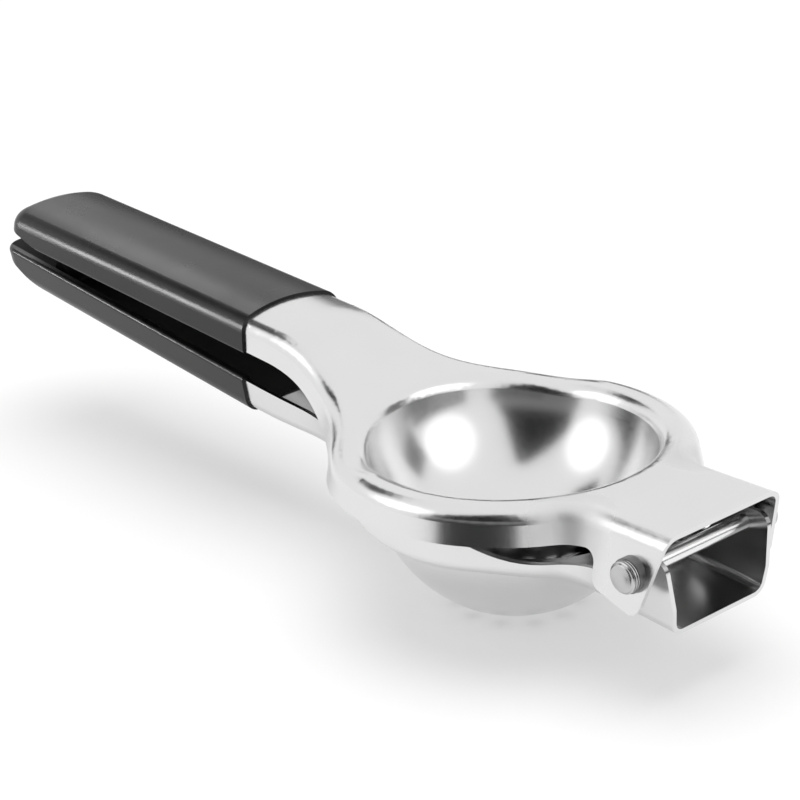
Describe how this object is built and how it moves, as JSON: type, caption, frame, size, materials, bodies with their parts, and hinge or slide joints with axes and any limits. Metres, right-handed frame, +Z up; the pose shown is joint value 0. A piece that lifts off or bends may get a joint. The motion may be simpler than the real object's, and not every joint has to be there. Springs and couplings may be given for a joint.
{
  "type": "lemon squeezer",
  "caption": "Hinged hand press for citrus: a polished steel press bowl on one arm swings into a strainer bowl on the other, with a pouring mouth under the hinge and black grips.",
  "frame": {"origin": "middle of the flat foot under the strainer bowl", "axes": "+Z up the bowl's axis, +X from the bowl to the hinge along the arms, +Y along the hinge pin"},
  "size_m": [0.2278, 0.0754, 0.0545],
  "materials": {
    "polished_steel": "mirror polished stainless steel",
    "pin_steel": "polished stainless steel",
    "washer_steel": "dull stainless steel",
    "grip": "black satin moulded plastic"
  },
  "bodies": {
    "lower_arm": {"bowl_arm": "polished_steel", "bowl_grip": "grip"},
    "upper_arm": {"press_arm": "polished_steel", "press_grip": "grip", "hinge_pin": "pin_steel", "pin_cap": "pin_steel", "near_washer": "washer_steel", "far_washer": "washer_steel"}
  },
  "joints": [
    {"name": "lever_hinge", "type": "hinge", "parent": "lower_arm", "child": "upper_arm", "pos_m": [0.0485, 0, 0.027], "axis": [0, 1, 0], "range_deg": [0, 90]}
  ]
}
